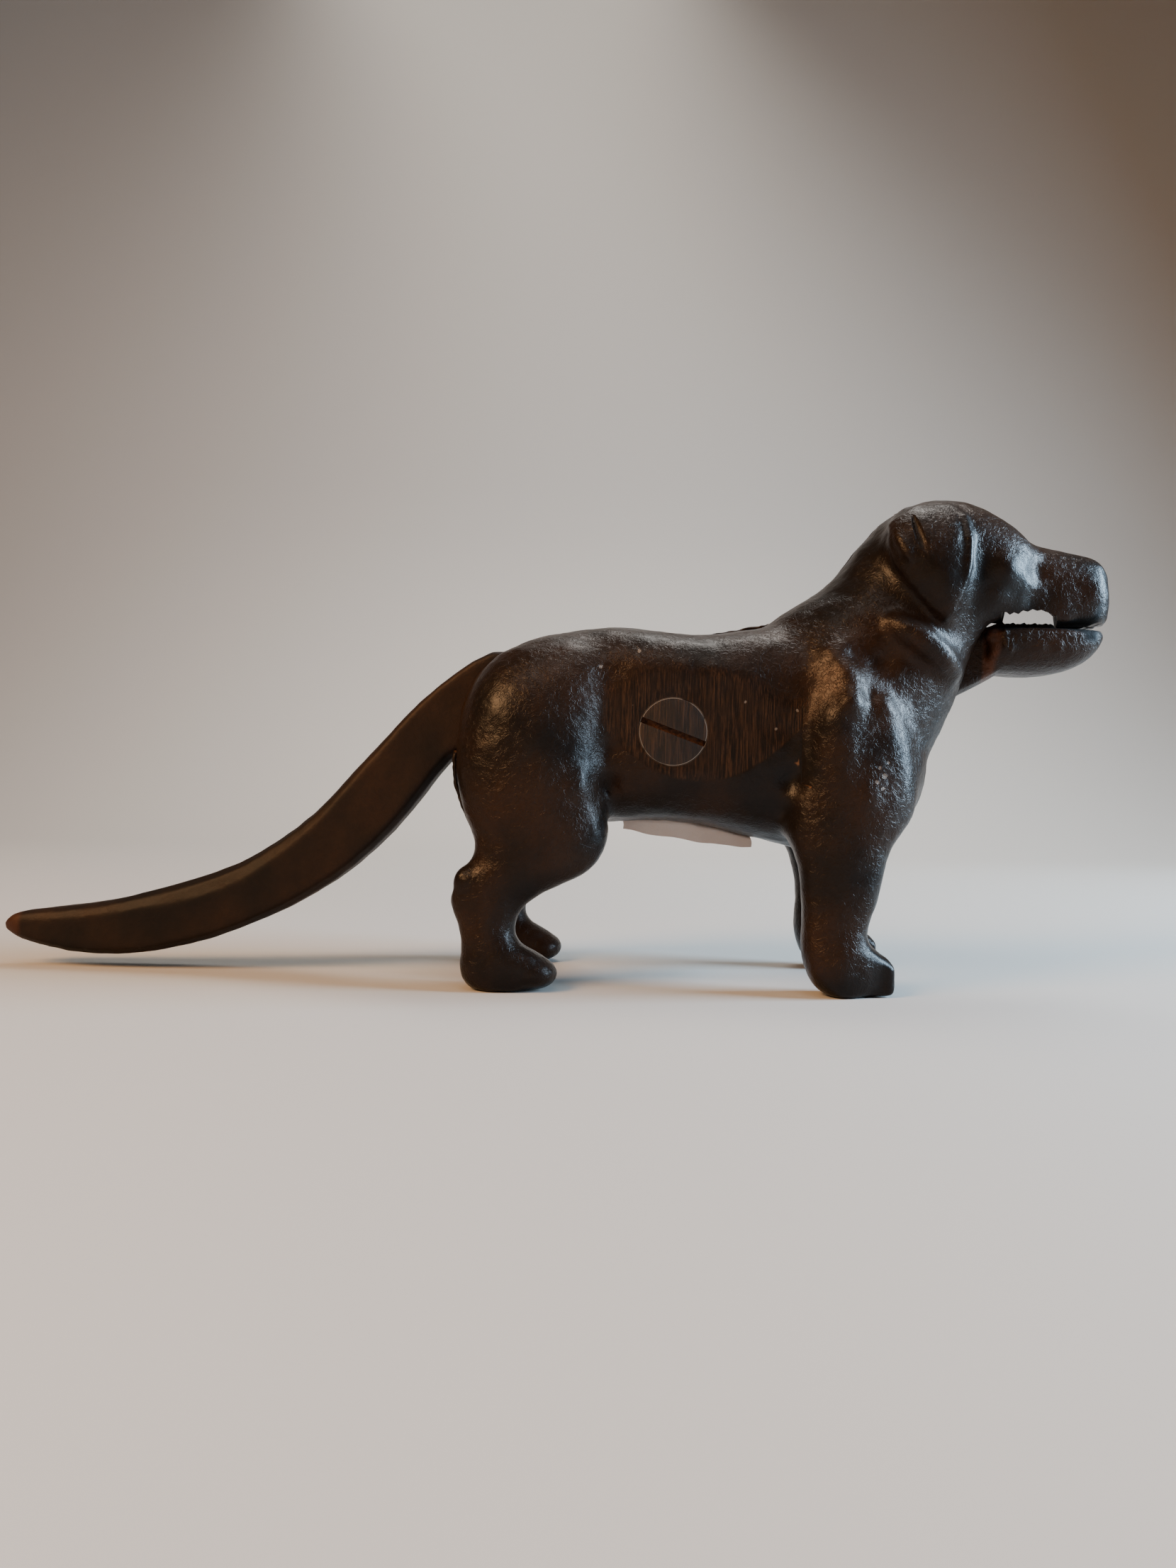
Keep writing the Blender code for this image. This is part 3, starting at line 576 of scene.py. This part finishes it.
# Bulges and hollows pressed into the skin: place, reach and how far out it goes.
MODELLING = [
    ((-9.0, 29.0, 66.0), 15.0, 0.7),  # thigh
    ((6.0, 27.0, 48.0), 6.0, 0.8),  # front of the thigh
    ((12.6, 23.0, 57.0), 4.5, -0.9),  # crease in front of it
    ((12.2, 22.0, 48.0), 4.5, -1.6),
    ((12.0, 20.0, 39.0), 4.0, -1.2),
    ((34.0, 21.0, 44.0), 9.0, -0.9),  # belly, tucked under the flank
    ((68.2, 26.0, 68.6), 5.4, 1.6),  # point of the shoulder
    ((76.4, 24.0, 67.4), 4.8, 1.3),
    ((72.4, 25.0, 70.6), 2.8, -0.8),
    ((62.6, 25.5, 72.0), 8.0, -2.0),  # hollow round the shoulder
    ((63.6, 24.0, 77.4), 5.0, -0.8),
    ((69.6, 24.0, 79.8), 5.0, -1.2),
    ((76.4, 23.0, 78.6), 5.0, -1.2),
    ((55.4, 23.0, 50.0), 5.0, -1.4),  # crease behind the foreleg
    ((54.6, 21.0, 42.0), 4.5, -1.4),
    ((71.6, 26.0, 47.0), 6.0, 0.9),  # upper foreleg
    ((79.0, 23.0, 60.0), 7.0, 0.8),  # chest
    ((106.6, 16.5, 102.5), 6.5, 1.5),  # brow and cheek
    ((105.4, 15.0, 95.5), 5.0, 0.9),
    ((114.6, 13.6, 102.0), 4.6, -1.5),  # hollow under the eye
    ((113.6, 13.0, 96.0), 4.0, -0.9),
    ((130.6, 12.0, 99.0), 5.0, 0.5),  # nose
    ((122.6, 12.5, 95.0), 4.0, 0.4),
    ((-17.0, 25.0, 33.0), 4.0, 0.5),  # hock
]


def sided(stations, side):
    """The same stations on the given side of the dog."""
    return [(x, y * side, z, *rest) for x, y, z, *rest in stations]


def masses(side):
    """Paws and folds that stand proud of the plain half."""
    step = STRIDE if side == LEFT else 0.0
    lumps = [
        ((-20.2, 22.6, 25.4), (4.6, 5.4, 4.2), (0, 30, 0)),  # hock
        ((-4.4, 23.0, 3.9), (5.8, 6.6, 3.8), (0, 0, 0)),  # hind toes
    ]
    made = [ball((x, y * side, z), size, turn) for (x, y, z), size, turn in lumps]
    toes = primitive("cube", (76.2 + step, side * 23.0, 4.0), (3.9, 5.2, 3.7))
    return made + [toes, roll(sided(NECK_FOLD, side))]


def ear_folds(side):
    folds = (EAR_EDGE, EAR_FOLD_1, EAR_FOLD_2, EAR_KNOB)
    return [roll(sided(stations, side)) for stations in folds]


def mouth_cutter():
    """What is open above the lower jaw, higher and longer towards the left lip."""
    piece = drawn(MOUTH_BACK + LIP, -20.0, 20.0)
    for vertex in piece.data.vertices:
        place = (vertex.co - ORIGIN) / MM
        across = place.y - NEAR_LIP_Y
        if place.z > 91.3 and place.x > 107.6:
            vertex.co.z += ROOF_RISE * across * MM
        if 107.0 < place.x < 134.0 and place.z > 88.8:
            vertex.co.x += MOUTH_SLANT * across * min(1.0, (134.0 - place.x) / 11.6) * MM
    return piece


def flank_cutter(side):
    """What the grinder took off the flank, with slanting ends."""
    outline = [(4.0, 46.0), (67.0, 46.0), (67.0, 82.0), (4.0, 82.0)]
    piece = drawn(outline, *sorted((side * 34.0, side * FLANK_Y)))
    for vertex in piece.data.vertices:
        place = (vertex.co - ORIGIN) / MM
        if abs(abs(place.y) - FLANK_Y) < 0.1:
            vertex.co = at(13.0 if place.x < 30 else 57.5, place.y, 49.5 if place.z < 60 else 80.0)
    return piece


def pressings(side):
    """All that is pressed into one half's skin, as push() takes it."""
    moves = []
    for (x, y, z), reach, out in MODELLING:
        moves.append(((x, y * side, z), reach, (0.0, out * side, 0.0)))
    moves += [((-29.5, side * y, 29.5), 6.5, (1.7, 0.0, -1.9)) for y in (8.0, 16.0)]  # hock
    moves.append(((77.0, side * 29.0, 4.0), 13.0, (0.0, -3.0 * side, 0.0)))  # forepaw
    return moves


def body_half(side, word):
    """One half casting: its masses are blended, pressed, given an ear and cut to fit."""
    piece = node_copy(f"{word}_body_half", f"{word}_half_casting")
    extra = masses(side)
    if side == RIGHT:
        extra += [drawn(LIP_PLUG, -12.3, -GAP), bar(9.4, -22.6, -16.5)]
    else:
        extra += [bar(6.0, 20.0, 22.5)]
    join(piece, extra)
    cast(piece, 0.9, 8)
    push(piece, pressings(side))
    cut(piece, roll(sided(EAR_TRENCH, side)))
    cut(piece, roll(sided(CHEEK_TRENCH, side)))
    swell(piece, EAR, side, 1.0)
    join(piece, ear_folds(side))
    cast(piece, 0.75, 1)
    cut(piece, roll(sided(EAR_GROOVE, side)))
    modify(piece, "SMOOTH", factor=0.5, iterations=1)
    roughen(piece, 5.0, 0.45)
    other_half = primitive("cube", (50.0, side * (GAP - 30.0), 60.0), (150.0, 30.0, 90.0))
    cutters = [mouth_cutter(), other_half, flank_cutter(side)]
    if side == RIGHT:
        cutters += [bar(HEAD_RADIUS + 0.12, -40.0, -FLANK_Y + 5.3), bar(5.3, -FLANK_Y + 5.0, 5.0)]
    else:
        cutters.append(bar(4.8, -5.0, 40.0))
    for cutter in cutters:
        cut(piece, cutter)
    return piece


# ---------------------------------------------------------------- lever


# Places along the seam under the tail, (x, y, z), where metal was squeezed out.
TAIL_FLASH = [(-44.6, 0.0, 36.2), (-41.4, -0.4, 38.6), (-39.0, 0.3, 41.6)]
TAIL_FLASH += [(-36.4, -0.2, 44.4), (-33.8, 0.2, 46.8), (-31.0, 0.0, 50.6)]
# Bumps inside the rim of the lower jaw: place, and half the size.
RIM_BUMPS = [((107.6, 8.4, 87.4), (2.2, 1.3, 1.3)), ((110.9, 8.4, 87.9), (1.9, 1.3, 1.2))]
RIM_BUMPS += [((114.4, 8.4, 87.8), (1.9, 1.3, 1.1)), ((118.0, 8.4, 87.5), (1.8, 1.3, 1.2))]
RIM_BUMPS += [((121.2, 8.4, 87.6), (2.3, 1.3, 1.5)), ((125.8, 8.4, 87.3), (2.0, 1.3, 1.4))]
RIM_BUMPS += [((106.7, 9.4, 87.0), (2.6, 1.9, 1.7))]


def tail_and_jaw():
    """The lever casting, with its rippled jaw rim, its teeth and the flash under its tail."""
    piece = node_copy("tail_and_jaw_lever", "lever_casting")
    draw = random.Random(5)
    ripples = [ball((134.4, side * 2.4, 88.3), (1.6, 2.4, 1.3)) for side in (RIGHT, LEFT)]
    for side in (RIGHT, LEFT):
        for i in range(20):
            x = 108.6 + i * 1.25 + draw.uniform(-0.3, 0.3)
            edge = 11.9 - max(0.0, x - 122.0) ** 1.7 * 0.105
            top, size = draw.uniform(87.4, 88.6), draw.uniform(0.45, 0.85)
            low = top - draw.uniform(1.5, 5.0)
            upper = (x, side * (edge - 0.5), top, size)
            lower = (x + draw.uniform(-0.4, 0.4), side * edge, low, size * 0.6)
            ripples.append(roll([upper, lower]))
        ripples += [ball((x, side * y, z), size) for (x, y, z), size in RIM_BUMPS]
    ripples.append(roll([(x, y, z, draw.uniform(0.5, 1.1)) for x, y, z in TAIL_FLASH]))
    join(piece, ripples)
    cast(piece, 0.6, 2)
    roughen(piece, 6.0, 0.3)
    teeth = [(105.6, 96.0), (105.6, 90.3)]
    for i in range(11):
        x = 107.0 + i * 1.34
        teeth += [(x, 89.8), (x + 0.67, 90.5)]
    teeth += [(122.6, 90.2), (122.6, 96.0)]
    cut(piece, drawn(teeth, -9.4, 9.4))
    return piece


# ---------------------------------------------------------------- screw, flash and label


def flank_screw():
    """A flush slotted head with its shank drawn out of it."""
    piece = bar(HEAD_RADIUS, -FLANK_Y + 0.05, -FLANK_Y + 5.0)
    bpy.ops.object.mode_set(mode="EDIT")
    bpy.ops.mesh.select_all(action="DESELECT")
    bpy.ops.mesh.select_mode(type="FACE")
    form = bmesh.from_edit_mesh(piece.data)
    for face in form.faces:
        face.select = face.normal.y > 0.9
    bmesh.update_edit_mesh(piece.data)
    bpy.ops.mesh.inset(thickness=(HEAD_RADIUS - 4.95) * MM)
    bpy.ops.mesh.extrude_region_move(TRANSFORM_OT_translate={"value": (0.0, 24.8 * MM, 0.0)})
    bpy.ops.mesh.inset(thickness=0.5 * MM)
    bpy.ops.mesh.extrude_region_move(TRANSFORM_OT_translate={"value": (0.0, 15.9 * MM, 0.0)})
    bpy.ops.object.mode_set(mode="OBJECT")
    clean(piece)
    cut(piece, primitive("cube", (PIVOT_X, -FLANK_Y, PIVOT_Z), (12.0, 2.0, 0.68), (0, 20, 0)))
    sharp = {"limit_method": "ANGLE", "angle_limit": math.radians(50)}
    modify(piece, "BEVEL", width=0.22 * MM, segments=3, **sharp)
    return piece


# Ragged metal squeezed out of the mould: a line of (x, z), its radius, and 0 on the parting
# plane or the side whose slot edge it stands behind.
SKULL_SEAM = [(84.0, 118.2), (88.0, 120.0), (92.0, 121.2), (97.0, 121.8), (102.0, 121.0)]
SKULL_SEAM += [(107.0, 118.9), (112.0, 116.2)]
RUMP_SEAM = [(-25.4, 56.0), (-25.6, 52.0), (-24.9, 47.1), (-23.4, 42.6), (-21.3, 38.4)]
RUMP_SEAM += [(-18.6, 32.0)]
FLASH = [
    ([(38.0, 86.6), (44.0, 87.9), (50.0, 89.0), (53.2, 89.9)], 0.45, 0),
    (SKULL_SEAM, 0.35, 0),
    ([(119.0, 110.6), (122.0, 110.1), (126.0, 109.3), (130.0, 108.6), (133.4, 107.8)], 0.5, 0),
    (RUMP_SEAM, 0.55, RIGHT),
]


def parting_flash():
    """Thin ragged ribs along the seam on the back, skull and muzzle, and behind the right thigh."""
    draw = random.Random(11)
    ribs = []
    for line, radius, side in FLASH:
        stations = []
        for (x0, z0), (x1, z1) in zip(line, line[1:]):
            for i in range(5):
                t = i / 5
                wander = draw.uniform(-0.22, 0.22)
                x, z = x0 + t * (x1 - x0) + wander * side, z0 + t * (z1 - z0) + wander
                stations.append((x, side * 8.6 + draw.uniform(-0.25, 0.25), z, radius))
        ribs.append(roll(stations))
    return join(ribs[0], ribs[1:])


# Stations of the label along the belly: (x, z where it is stuck, z of its free edge).
LABEL = [(16.4, 39.2, 37.7), (24.0, 39.4, 36.4), (33.0, 38.7, 35.0), (41.0, 37.0, 34.1)]
LABEL += [(48.8, 35.2, 33.7)]


def belly_label():
    """A blank paper strip, stuck along its far edge and drooping along its near one."""
    bpy.ops.object.select_all(action="DESELECT")
    bpy.ops.mesh.primitive_grid_add(x_subdivisions=48, y_subdivisions=20, size=2.0)
    piece = bpy.context.object
    for vertex in piece.data.vertices:
        along, across = (vertex.co.x + 1) / 2, (vertex.co.y + 1) / 2
        spot = along * (len(LABEL) - 1)
        i = min(int(spot), len(LABEL) - 2)
        t = spot - i
        x, stuck, free = (a + t * (b - a) for a, b in zip(LABEL[i], LABEL[i + 1]))
        droop = max(0.0, (across - 0.60) / 0.40)
        y = 9.0 - 16.0 * min(across, 0.66) - 2.2 * max(0.0, across - 0.66)
        lift = min(1.0, max(0.0, (across - 0.50) / 0.10))
        z = stuck + 0.4 - 0.7 * min(across, 0.60) + 0.9 * lift + (free - stuck - 1.2) * droop**1.15
        z += 0.12 * math.sin(along * 19.0) * across
        z += 0.25 * noise.noise(Vector((x * 0.2, y * 0.2, 3.0))) * across
        vertex.co = at(x + 0.25 * math.sin(across * 9.0), y, z)
    modify(piece, "SOLIDIFY", thickness=0.16 * MM, offset=1.0)
    clean(piece)
    return piece


# ---------------------------------------------------------------- build

body_paint = japanned_iron("japanned_iron", ground_flank=True)
# The lever's paint has a ridge of rubbed wear and painted highlight along the tail.
lever_paint = japanned_iron("rubbed_iron", rubbed_highlit_ridge=True)
for flank, label in ((RIGHT, "right"), (LEFT, "left")):
    half = body_half(flank, label)
    replaced = [f"{label}_body_half"]
    finish(half, f"{label}_half_casting", "body", replaced, body_paint)
finish(tail_and_jaw(), "lever_casting", "lever", ["tail_and_jaw_lever"], lever_paint)
screw_paint = screw_iron("screw_steel")
finish(flank_screw(), "flank_screw", "body", ["pivot_screw"], screw_paint, 30.0)
finish(parting_flash(), "parting_flash", "body", [], body_paint)
paper = label_paper("label_paper")
finish(belly_label(), "belly_label", "body", ["price_label"], paper)
pin_steel = dowel_steel("dowel_steel")
for node in ("head_dowel", "chest_dowel", "groin_dowel"):
    frame["nodes"][node].data.materials[0] = pin_steel


# ---------------------------------------------------------------- floor and light


BEND_Y, BEND_RADIUS, BEND_ANGLE = 0.55, 0.45, 1.35  # where, how tightly and how far it bends


def sweep():
    """A pale floor that rises behind into a backdrop, in metres."""
    bpy.ops.object.select_all(action="DESELECT")
    bpy.ops.mesh.primitive_grid_add(x_subdivisions=2, y_subdivisions=60, size=2.0)
    piece = bpy.context.object
    for vertex in piece.data.vertices:
        run = (vertex.co.y + 1) / 2 * 3.4 - 1.2
        bend = max(0.0, run - BEND_Y)
        angle = min(bend / BEND_RADIUS, BEND_ANGLE)
        flat = max(0.0, bend - BEND_RADIUS * BEND_ANGLE)
        y = min(run, BEND_Y) + BEND_RADIUS * math.sin(angle) + flat * math.cos(BEND_ANGLE)
        z = BEND_RADIUS * (1 - math.cos(angle)) + flat * math.sin(BEND_ANGLE)
        vertex.co = (vertex.co.x * 2.5, y, z)
    pick(piece)
    bpy.ops.object.shade_smooth()
    piece.name = "floor"
    material, *_ = paint("pale_cloth", Base_Color=(0.40, 0.375, 0.345, 1.0), Roughness=0.9)
    piece.data.materials.append(material)


def lamp(name, place, aim, size, power, colour, spread=180):
    """A soft rectangular light, in metres, watts and degrees of spread."""
    data = bpy.data.lights.new(name, "AREA")
    data.shape = "RECTANGLE"
    data.size, data.size_y = size
    data.energy = power
    data.color = colour
    data.spread = math.radians(spread)
    thing = bpy.data.objects.new(name, data)
    bpy.context.scene.collection.objects.link(thing)
    thing.location = place
    thing.rotation_euler = (Vector(aim) - Vector(place)).to_track_quat("-Z", "Y").to_euler()


sweep()
COOL, WARM, ROOM = (0.52, 0.76, 1.0), (1.0, 0.58, 0.28), (1.0, 0.78, 0.58)
BACKDROP_WHITE, FLOOR_WHITE = (1.0, 0.97, 0.92), (1.0, 0.95, 0.88)
lamp("window", (0.75, -0.04, 0.32), (0.02, 0.0, 0.06), (0.32, 0.44), 24.0, COOL)
lamp("warm_lamp", (-0.62, -0.50, 0.62), (0.0, 0.0, 0.06), (0.40, 0.40), 15.0, WARM)
lamp("room", (0.0, -1.30, 0.16), (0.0, 0.0, 0.05), (0.9, 0.3), 1.0, ROOM)
lamp("backdrop_lamp", (0.10, 0.75, 1.20), (0.05, 0.72, 0.0), (1.2, 0.4), 6.0, BACKDROP_WHITE, 80)
lamp("floor_lamp", (0.0, -0.62, 1.30), (0.0, -0.55, 0.0), (1.0, 0.3), 2.2, FLOOR_WHITE, 60)
world = bpy.context.scene.world or bpy.data.worlds.new("room")
bpy.context.scene.world = world
world.use_nodes = True
background = world.node_tree.nodes["Background"]
background.inputs["Color"].default_value = (0.90, 0.84, 0.76, 1.0)
background.inputs["Strength"].default_value = 0.05

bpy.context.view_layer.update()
